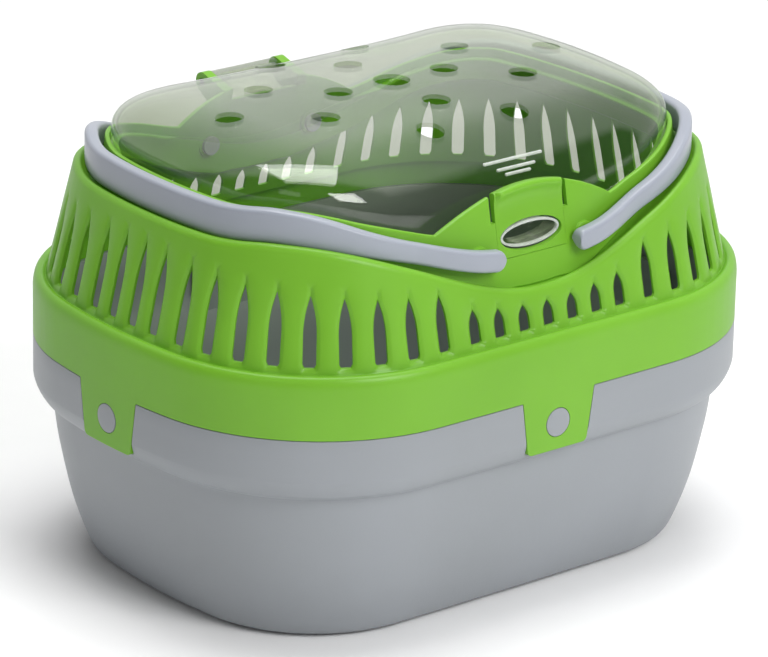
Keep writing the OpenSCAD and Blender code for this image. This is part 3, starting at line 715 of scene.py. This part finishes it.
def build_handle(name, mirror):
    """Bar that follows the collar round one end; its ends are rounded by closing the section."""
    x_end = PIVOT_X - 8
    t0 = math.asin(x_end / SIDE_R)
    s0 = float(OUT.s_of(t0))
    s1 = float(OUT.s_of(math.pi - t0))
    low_r, high_r = 4.0, 2.6
    near = low_r * (1 - np.cos(np.linspace(0, math.pi / 2, 12)))
    inner = np.linspace(low_r, (s1 - s0) / 2, 150)[1:]
    half = np.concatenate([near, inner])
    s = np.concatenate([s0 + half, (s1 - half)[-2::-1]])
    gap_to_end = np.minimum(s - s0, s1 - s)
    x = np.abs(OUT.place(s, RIM_INSET)[0])
    low = rim_line(x) - drop(x)
    high = low + BAR_H + GRIP_EXTRA * ease((x - 60) / 60)
    d_low = np.clip(low_r - gap_to_end, 0, low_r)
    d_high = np.clip(high_r - gap_to_end, 0, high_r)
    low = low + low_r - np.sqrt(low_r ** 2 - d_low ** 2)
    high = high - high_r + np.sqrt(high_r ** 2 - d_high ** 2)
    face_in = bar_out_in(x)
    verts = []
    count = 0
    for k in range(len(s)):
        section = bar_section(low[k], high[k])
        count = len(section)
        inset = np.array([face_in[k] + p[0] for p in section])
        px, py = OUT.place(np.full(count, s[k]), inset)
        verts += [(px[m], py[m], section[m][1]) for m in range(count)]
    rows = len(s)
    faces = grid_faces(rows, count, False, True)
    faces = [tuple(reversed(f)) for f in faces]
    faces.append(tuple(range(count)))
    faces.append(tuple((rows - 1) * count + m for m in range(count - 1, -1, -1)))
    verts = np.array(verts)
    if mirror:
        verts[:, 0] *= -1
        faces = [tuple(reversed(f)) for f in faces]
    return new_piece(name, verts, faces, SMOOTH_ROUND)


# ---- latch tongue ----
def build_tongue():
    """Latch tongue: a leaning plate with an arched, curled top and the oval window."""
    axis_z = TONGUE_Z + CLEARANCE + COLLAR_WALL / 2
    out_y = -HALF_WID + float(collar_in(0, axis_z))
    half = TONGUE_W / 2 - TONGUE_SEAM
    crest_h = CREST_Z + 1.2 - axis_z
    # profile from the foot up: distance out from the plate's face (negative is outwards), height
    face = [(0.0, -0.78), (0.0, 4.0), (0.0, 10.0), (0.0, 16.0), (0.0, crest_h - 10), (-0.1, crest_h - 8),
            (-0.4, crest_h - 6.4), (-1.0, crest_h - 4.9), (-1.9, crest_h - 3.6), (-2.7, crest_h - 2.7)]
    lip = [(-3.15, crest_h - 2.0), (-3.25, crest_h - 1.3), (-3.0, crest_h - 0.6), (-2.4, crest_h - 0.12),
           (-1.6, crest_h), (COLLAR_WALL - 0.8, crest_h), (COLLAR_WALL - 0.2, crest_h - 0.25),
           (COLLAR_WALL, crest_h - 0.8)]
    back = [(COLLAR_WALL, crest_h - 6), (COLLAR_WALL, 10.0), (COLLAR_WALL, 0.0), (COLLAR_WALL * 0.7, -1.0),
            (0.2, -1.0)]
    profile = face + lip + back
    lean = Matrix.Rotation(-math.atan(TONGUE_LEAN), 3, "X")
    us = np.linspace(-1, 1, 61)
    verts = []
    for u in us:
        x = half * u
        sink = x * x / (2 * CREST_R)
        for y, z in profile:
            follow = np.clip((z - 16) / (crest_h - 25), 0, 1)
            # the curl fades out at its two ends
            curl = 1 - 0.7 * float(ease((abs(u) - 0.88) / 0.1)) if y < 0 else 1.0
            verts.append((x, y * curl, z - sink * follow))
    n = len(profile)
    faces = [tuple(reversed(f)) for f in grid_faces(len(us), n, False, True)]
    faces.append(tuple(range(n)))
    faces.append(tuple((len(us) - 1) * n + m for m in range(n - 1, -1, -1)))
    tongue = new_piece("latch_tongue_look", verts, faces, SMOOTH_SHELL)
    set_place(tongue, lean, (0, out_y, axis_z))
    window = prism("tool", ellipse_points(WINDOW_W, WINDOW_H, WINDOW_Z), -112, -80)
    cut(tongue, [window], SMOOTH_SHELL)
    return tongue


# ---- lid ----
def lid_grid():
    """Dome, margin and skirt of the lid as one closed sheet of rings."""
    n = 480
    s = np.arange(n) * OUT.length / n
    x = np.abs(OUT.place(s, RIM_INSET)[0])
    edge_in = lid_in(x)

    def dome(u, k):
        """Ring at a share u of the margin; k is 0 on the outer face and 1 on the inner."""
        w = k * LID_WALL
        px, py = OUT.place(s, edge_in + w + (LID_MARGIN - w) * u)
        z = mix(lid_edge(x), lid_crown(px, py) - w, lid_rise(u))
        return np.stack([px, py, z], axis=1)

    def crown(scale, k):
        """Ring of the crown, the margin's inner edge scaled towards the middle."""
        px, py = OUT.place(s, edge_in + LID_MARGIN)
        px, py = px * scale, py * scale
        return np.stack([px, py, lid_crown(px, py) - k * LID_WALL], axis=1)

    def skirt(inset, z):
        """Ring of the upright skirt at a height."""
        px, py = OUT.place(s, edge_in + inset)
        return np.stack([px, py, np.broadcast_to(z, n)], axis=1)

    steps = np.concatenate([np.linspace(0, 1, 26)[1:] ** 1.9 * 0.3, np.linspace(0.3, 1, 22)[1:]])
    scales = np.linspace(0.95, 0.05, 19)
    bottom = lid_bottom(x)
    rings = [crown(k, 1) for k in scales[::-1]]
    rings += [dome(u, 1) for u in steps[::-1]]
    rings += [skirt(LID_WALL, bottom + 0.5), skirt(LID_WALL - 0.35, bottom + 0.1),
              skirt(LID_WALL - 0.7, bottom), skirt(0.7, bottom), skirt(0.3, bottom + 0.12),
              skirt(0.0, bottom + 0.6)]
    rings += [skirt(0.0, mix(bottom + 0.6, lid_edge(x), k)) for k in (0.3, 0.6, 0.9)]
    rings += [dome(u, 0) for u in steps]
    rings += [crown(k, 0) for k in scales]
    verts = np.concatenate(rings)
    verts = np.vstack([verts, [[0, 0, LID_TOP_Z - LID_WALL], [0, 0, LID_TOP_Z]]])
    return new_piece("lid_look", verts, closed_faces(len(rings), n), SMOOTH_ROUND)


CATCH_ROOM, CATCH_WALL = 0.8, 1.15
# the catch stands this far in front of the lid; its front edge carries a painted highlight from the second
# distance on
CATCH_FRONT, CATCH_HIGHLIGHT, CATCH_BACK = -8.8, -7.6, 0.6
KNUCKLE_HALF = 17.7
# grip ridges as (length, share of the margin from the lid's edge), a little off the middle
GRIP_RIDGES = ((32, 0.225), (21, 0.165), (14, 0.13))
RIDGE_R, RIDGE_SHIFT = 0.75, 4.5


def catch_ring(front, back):
    """Oval ring of the catch between two distances from the lid's front face."""
    outer_w, outer_h = WINDOW_W - 2 * CATCH_ROOM, WINDOW_H - 2 * CATCH_ROOM
    outside = ellipse_points(outer_w, outer_h, WINDOW_Z)
    inside = ellipse_points(outer_w - 2 * CATCH_WALL, outer_h - 2 * CATCH_WALL, WINDOW_Z)
    ring = prism("ring", outside, LID_FRONT_Y + front, LID_FRONT_Y + back)
    cut(ring, [prism("tool", inside, LID_FRONT_Y + front - 2, LID_FRONT_Y + back + 2)])
    return ring


def build_lid():
    """Lid with its air holes, hinge knuckle and the clear part of the catch."""
    lid = lid_grid()
    tools = [round_tool("Z", HOLE_MID_D / 2, LID_TOP_Z - 14, LID_TOP_Z + 6, (0, 0), 96)]
    tools += [round_tool("Z", HOLE_D / 2, LID_TOP_Z - 18, LID_TOP_Z + 6, at, 80) for at in HOLES]
    cut(lid, tools, SMOOTH_ROUND)
    catch = catch_ring(CATCH_HIGHLIGHT, CATCH_BACK)
    r, end = KNUCKLE_D / 2, KNUCKLE_HALF
    knuckle = lathe("knuckle", [(0, -end), (r - 0.3, -end), (r, -17.4), (r, 17.4), (r - 0.3, end), (0, end)])
    set_place(knuckle, Matrix.Rotation(math.pi / 2, 3, "Y"), (0, HINGE_Y, HINGE_Z))
    web = box_tool((-end, -LID_FRONT_Y - 2.8, HINGE_Z - 2.2), (end, HINGE_Y, HINGE_Z + 2.2))
    whole = join("lid_look", [lid, catch, knuckle, web])
    mark_sharp(whole, SMOOTH_ROUND)
    return whole


def build_lid_marks():
    """Three grip ridges on the dome and the front edge of the catch that shows in the latch window."""
    parts = []
    r = RIDGE_R
    for length, u in GRIP_RIDGES:
        y = LID_FRONT_Y + LID_MARGIN * u
        z = float(mix(lid_edge(0), lid_crown(0, y), lid_rise(u)))
        ends = length / 2 - r
        tips = [(r * math.sin(a), -ends - r * math.cos(a)) for a in np.linspace(0, math.pi / 2, 6)]
        tips += [(r * math.cos(a), ends + r * math.sin(a)) for a in np.linspace(0, math.pi / 2, 6)]
        ridge = lathe("ridge", [(max(p[0], 0.0), p[1]) for p in tips], 24)
        set_place(ridge, Matrix.Rotation(math.pi / 2, 3, "Y"), (RIDGE_SHIFT, y, z))
        parts.append(ridge)
    # the catch's front edge, which carries the painted highlight
    parts.append(catch_ring(CATCH_FRONT, CATCH_HIGHLIGHT))
    whole = join("lid_marks_look", parts)
    mark_sharp(whole, SMOOTH_ROUND)
    return whole


# ---- studs ----
def build_stud(i, name):
    """Flat round stud on the tab of side i."""
    turn, distance = TAB_TURNS[i]
    r = STUD_D / 2
    arc = [(r * math.sin(a), -0.4 * math.cos(a)) for a in np.linspace(0, math.pi / 2 * 0.92, 10)]
    profile = [(0.0, -0.4)] + arc[1:] + [(r, 0.3), (r, 2.4), (3.4, 2.4), (3.4, 6.0), (0.0, 6.0)]
    stud = lathe(name, profile, 96)
    set_place(stud, Matrix.Rotation(-math.pi / 2, 3, "X"), (0, -distance, STUD_Z))
    set_place(stud, Matrix.Rotation(turn, 3, "Z"), (0, 0, 0))
    return stud


# ---- materials ----
class Nodes:
    """Short way to build the node tree of a material or of the world."""

    def __init__(self, owner):
        owner.use_nodes = True
        self.owner = owner
        self.tree = owner.node_tree
        self.tree.nodes.clear()

    def add(self, kind, inputs=(), **settings):
        """A node with its settings; an input is given a value, or another node's socket to link."""
        node = self.tree.nodes.new(kind)
        for key, value in settings.items():
            setattr(node, key, value)
        for key, value in dict(inputs).items():
            if isinstance(value, bpy.types.NodeSocket):
                self.tree.links.new(value, node.inputs[key])
            else:
                node.inputs[key].default_value = value
        return node

    def done(self, shader, output="ShaderNodeOutputMaterial"):
        """Link the last shader to the output, and give back the owner of the tree."""
        self.add(output, {"Surface": shader})
        return self.owner


def srgb(code):
    """Linear colour of a six-digit sRGB code."""
    parts = [int(code[i:i + 2], 16) / 255 for i in (0, 2, 4)]
    return tuple(p / 12.92 if p <= 0.04045 else ((p + 0.055) / 1.055) ** 2.4 for p in parts) + (1.0,)


def moulded_plastic(name, base, deep, roughness, grain=0.05, bevel=0.25, glow=0.0):
    """Injection-moulded plastic: slow drift of colour, fine orange peel and softened edges.

    glow is the share of light that soaks through the thin wall."""
    t = Nodes(bpy.data.materials.new(name))
    place = t.add("ShaderNodeTexCoord")
    at = place.outputs["Object"]
    drift = t.add("ShaderNodeTexNoise", {"Vector": at, "Scale": 9.0, "Detail": 3.0})
    fine = t.add("ShaderNodeTexNoise", {"Vector": at, "Scale": 900.0, "Detail": 2.0})
    peel = t.add("ShaderNodeTexNoise", {"Vector": at, "Scale": 140.0, "Detail": 2.0})
    tone = t.add("ShaderNodeMapRange", {"Value": drift.outputs["Fac"], "From Min": 0.35, "From Max": 0.65})
    colour = t.add("ShaderNodeMix", {0: tone.outputs["Result"], 6: srgb(deep), 7: srgb(base)},
                   data_type="RGBA")
    rough = t.add("ShaderNodeMapRange", {"Value": drift.outputs["Fac"], "From Min": 0.3, "From Max": 0.7,
                                         "To Min": roughness * 0.9, "To Max": roughness * 1.12})
    soft = t.add("ShaderNodeBevel", {"Radius": bevel * MM}, samples=4)
    bump_a = t.add("ShaderNodeBump", {"Height": peel.outputs["Fac"], "Strength": grain,
                                      "Distance": 0.0006, "Normal": soft.outputs["Normal"]})
    bump_b = t.add("ShaderNodeBump", {"Height": fine.outputs["Fac"], "Strength": grain,
                                      "Distance": 0.0002, "Normal": bump_a.outputs["Normal"]})
    shader = t.add("ShaderNodeBsdfPrincipled", {
        "Base Color": colour.outputs[2], "Roughness": rough.outputs["Result"], "IOR": 1.49,
        "Normal": bump_b.outputs["Normal"]})
    if glow == 0:
        return t.done(shader.outputs["BSDF"])
    through = t.add("ShaderNodeBsdfTranslucent", {"Color": colour.outputs[2]})
    both = t.add("ShaderNodeMixShader", {0: glow, 1: shader.outputs["BSDF"], 2: through.outputs["BSDF"]})
    return t.done(both.outputs["Shader"])


CLEAR_IOR = 1.5


def clear_plastic():
    """Thin clear styrene: see-through with a faint milky green cast, brighter towards grazing."""
    t = Nodes(bpy.data.materials.new("clear_styrene"))
    place = t.add("ShaderNodeTexCoord")
    at = place.outputs["Object"]
    wave = t.add("ShaderNodeTexNoise", {"Vector": at, "Scale": 14.0, "Detail": 2.0})
    scratch = t.add("ShaderNodeTexNoise", {"Vector": at, "Scale": 420.0, "Detail": 3.0})
    bump = t.add("ShaderNodeBump", {"Height": wave.outputs["Fac"], "Strength": 0.12, "Distance": 0.002})
    clear = t.add("ShaderNodeBsdfTransparent", {"Color": srgb("F1F5EB")})
    haze_tone = t.add("ShaderNodeMapRange", {"Value": scratch.outputs["Fac"], "From Min": 0.3,
                                             "From Max": 0.7, "To Min": 0.003, "To Max": 0.008})
    haze = t.add("ShaderNodeBsdfDiffuse", {"Color": srgb("DCE8DC")})
    milky = t.add("ShaderNodeMixShader", {0: haze_tone.outputs["Result"], 1: clear.outputs["BSDF"],
                                          2: haze.outputs["BSDF"]})
    gloss = t.add("ShaderNodeBsdfGlossy", {"Color": srgb("FFFFFF"), "Roughness": 0.03,
                                           "Normal": bump.outputs["Normal"]})
    # the same reflection on both faces of the thin wall
    side = t.add("ShaderNodeNewGeometry")
    ior = t.add("ShaderNodeMapRange", {"Value": side.outputs["Backfacing"], "To Min": CLEAR_IOR,
                                       "To Max": 1 / CLEAR_IOR})
    edge = t.add("ShaderNodeFresnel", {"IOR": ior.outputs["Result"], "Normal": bump.outputs["Normal"]})
    shader = t.add("ShaderNodeMixShader", {0: edge.outputs["Fac"], 1: milky.outputs["Shader"],
                                           2: gloss.outputs["BSDF"]})
    return t.done(shader.outputs["Shader"])


def painted_highlight_plastic():
    """The clear styrene drawn whitish as a painted highlight, where thick ridges and edges gather the light.
    """
    t = Nodes(bpy.data.materials.new("painted_highlight_styrene"))
    place = t.add("ShaderNodeTexCoord")
    grain = t.add("ShaderNodeTexNoise", {"Vector": place.outputs["Object"], "Scale": 300.0, "Detail": 2.0})
    share = t.add("ShaderNodeMapRange", {"Value": grain.outputs["Fac"], "From Min": 0.3, "From Max": 0.7,
                                         "To Min": 0.5, "To Max": 0.62})
    clear = t.add("ShaderNodeBsdfTransparent", {"Color": srgb("F4F8F2")})
    # painted highlight: a whitish opaque share mixed into the clear
    lit = t.add("ShaderNodeBsdfPrincipled", {"Base Color": srgb("E6EAE6"), "Roughness": 0.18, "IOR": 1.59})
    shader = t.add("ShaderNodeMixShader", {0: share.outputs["Result"], 1: clear.outputs["BSDF"],
                                           2: lit.outputs["BSDF"]})
    return t.done(shader.outputs["Shader"])


def plain_floor():
    """Pale matt floor, with painted shade where it is seen through the clear lid."""
    t = Nodes(bpy.data.materials.new("pale_floor"))
    place = t.add("ShaderNodeTexCoord")
    noise = t.add("ShaderNodeTexNoise", {"Vector": place.outputs["Object"], "Scale": 30.0})
    colour = t.add("ShaderNodeMix", {0: noise.outputs["Fac"], 6: srgb("F6F6F6"), 7: srgb("FAFAFA")},
                   data_type="RGBA")
    # painted shade: as the world does, the floor is drawn greyer where it is seen through the clear lid
    path = t.add("ShaderNodeLightPath")
    through = t.add("ShaderNodeMix", {0: path.outputs["Transparent Depth"], 6: colour.outputs[2],
                                      7: srgb("B6B6B6")}, data_type="RGBA")
    matt = t.add("ShaderNodeBsdfDiffuse", {"Color": through.outputs[2]})
    return t.done(matt.outputs["BSDF"])


GREEN = moulded_plastic("green_plastic", "88CA38", "80C130", 0.36, glow=0.3)
TUB_GREY = moulded_plastic("tub_plastic", "91959A", "8C9094", 0.42, grain=0.08)
HANDLE_GREY = moulded_plastic("handle_plastic", "9A9FAA", "9499A4", 0.34)
CLEAR = clear_plastic()
PAINTED_HIGHLIGHT = painted_highlight_plastic()


def dress(obj, material, slot, body, *nodes):
    """Give a piece its material and body, in place of its CAD nodes; slot is not used."""
    obj.data.materials.clear()
    obj.data.materials.append(material)
    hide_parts(*nodes)
    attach(obj, body)


def dress_node(name, material):
    """Give a CAD node that stays its material."""
    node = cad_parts[name]
    node.data.materials.clear()
    node.data.materials.append(material)


shell = finish_shell(build_shell())
dress(shell, GREEN, "shell_plastic", "base", "upper_shell")
dress(build_tub(), TUB_GREY, "tub_plastic", "base", "tub")
dress(build_tongue(), GREEN, "shell_plastic", "latch", "latch_tongue")
dress(build_lid(), CLEAR, "clear_plastic", "lid", "lid")
# the grip ridges and the catch's front edge get the painted highlight
dress(build_lid_marks(), PAINTED_HIGHLIGHT, "clear_plastic", "lid", "lid")
dress(build_handle("handle_right_look", False), HANDLE_GREY, "handle_plastic", "right_bail", "handle_right")
dress(build_handle("handle_left_look", True), HANDLE_GREY, "handle_plastic", "left_bail", "handle_left")
for i, place in enumerate(("front", "back", "left", "right")):
    dress(build_stud(i, "stud_%s_look" % place), TUB_GREY, "tub_plastic", "base", "stud_" + place)
for end in ("front", "back"):
    for hand in ("left", "right"):
        dress_node("handle_pin_%s_%s" % (end, hand), HANDLE_GREY)
for hand in ("left", "right"):
    dress_node("hinge_pin_" + hand, TUB_GREY)


# ---- floor, light and camera ----
FLOOR_HALF = 2600.0


def build_floor():
    """Flat floor under the object, wide enough for every view."""
    half = FLOOR_HALF
    corners = [(-half, -half, 0.0), (half, -half, 0.0), (half, half, 0.0), (-half, half, 0.0)]
    floor = new_piece("floor", corners, [(0, 1, 2, 3)])
    floor.data.materials.append(plain_floor())


CAM_YAW, CAM_PITCH, CAM_ROLL = 0.6859, -0.3579, 0.0209
CAM_AT = (-1.25688, -1.53401, 0.83524)
CAM_FOCAL_PX, PICTURE_W = 4866.1, 768


def build_camera():
    """Camera at the photograph's angle; the picture is taken to be 768 x 657."""
    data = bpy.data.cameras.new("photo_camera")
    data.sensor_fit = "HORIZONTAL"
    data.sensor_width = 36.0
    data.lens = CAM_FOCAL_PX / PICTURE_W * data.sensor_width
    camera = bpy.data.objects.new("photo_camera", data)
    bpy.context.scene.collection.objects.link(camera)
    ahead = Vector((math.sin(CAM_YAW) * math.cos(CAM_PITCH), math.cos(CAM_YAW) * math.cos(CAM_PITCH),
                    math.sin(CAM_PITCH)))
    right = Vector((math.cos(CAM_YAW), -math.sin(CAM_YAW), 0))
    up = right.cross(ahead)
    c, s = math.cos(CAM_ROLL), math.sin(CAM_ROLL)
    right, up = c * right + s * up, c * up - s * right
    turn = Matrix((right, up, -ahead)).transposed()
    camera.matrix_world = Matrix.Translation(CAM_AT) @ turn.to_4x4()
    bpy.context.scene.camera = camera


# soft lights as (name, place, size in metres, watts), all aimed at the middle of the object
LIGHTS = (("key", (0.15, -2.0, 1.5), 1.1, 33), ("top", (0.1, 0.2, 1.9), 1.3, 30),
          ("front_left", (-1.7, -0.9, 1.1), 0.8, 1.5))
LIGHT_TARGET = (0, 0, 0.12)


def area_light(name, at, size, power):
    """Square area light that faces the object."""
    data = bpy.data.lights.new(name, "AREA")
    data.energy = power
    data.size = size
    light = bpy.data.objects.new(name, data)
    aim = Vector(LIGHT_TARGET) - Vector(at)
    light.matrix_world = Matrix.Translation(at) @ aim.to_track_quat("-Z", "Y").to_matrix().to_4x4()
    bpy.context.scene.collection.objects.link(light)


# the room's soft light, from the picture's left to its right
ROOM_LEFT, ROOM_RIGHT = 0.12, 0.56
# what shiny faces mirror: a bright wall behind and above the object, a dim room on the camera's side
WALL_MIRROR, ROOM_MIRROR = 1.08, 0.07
WALL_EDGE, WALL_FADE = -0.02, 0.14  # how far towards the back the wall begins and is full
# painted shade: the backdrop seen through the clear lid is drawn greyer than the cleared white round the
# object
LID_PAINTED_SHADE = 0.48
WHITE = (1.0, 1.0, 1.0, 1.0)


def build_world():
    """White for the camera, greyed by painted shade through the lid, a wall and a dim room for mirrors, and
    a soft room light for the rest.
    """
    world = bpy.data.worlds.new("studio")
    bpy.context.scene.world = world
    t = Nodes(world)
    path = t.add("ShaderNodeLightPath")
    place = t.add("ShaderNodeTexCoord")
    towards = place.outputs["Generated"]
    back = t.add("ShaderNodeVectorMath", {0: towards, 1: (math.sin(CAM_YAW), math.cos(CAM_YAW), 0.0)},
                 operation="DOT_PRODUCT")
    fade = t.add("ShaderNodeMapRange", {"Value": back.outputs["Value"], "From Min": WALL_EDGE,
                                        "From Max": WALL_FADE, "To Min": ROOM_MIRROR, "To Max": WALL_MIRROR})
    side = t.add("ShaderNodeVectorMath", {0: towards, 1: (math.cos(CAM_YAW), -math.sin(CAM_YAW), 0.0)},
                 operation="DOT_PRODUCT")
    slope = t.add("ShaderNodeMapRange", {"Value": side.outputs["Value"], "From Min": -1.0,
                                         "To Min": ROOM_LEFT, "To Max": ROOM_RIGHT})
    # painted shade for camera rays that pass the clear lid
    behind = t.add("ShaderNodeMapRange", {"Value": path.outputs["Transparent Depth"], "To Min": 1.0,
                                          "To Max": LID_PAINTED_SHADE})
    room = t.add("ShaderNodeBackground", {"Color": WHITE, "Strength": slope.outputs["Result"]})
    mirror = t.add("ShaderNodeBackground", {"Color": WHITE, "Strength": fade.outputs["Result"]})
    seen = t.add("ShaderNodeBackground", {"Color": WHITE, "Strength": behind.outputs["Result"]})
    shiny = t.add("ShaderNodeMixShader", {0: path.outputs["Is Glossy Ray"], 1: room.outputs[0],
                                          2: mirror.outputs[0]})
    pick = t.add("ShaderNodeMixShader", {0: path.outputs["Is Camera Ray"], 1: shiny.outputs[0],
                                         2: seen.outputs[0]})
    t.done(pick.outputs[0], "ShaderNodeOutputWorld")


build_floor()
build_camera()
for light in LIGHTS:
    area_light(*light)
build_world()
bpy.context.scene.view_settings.view_transform = "Standard"
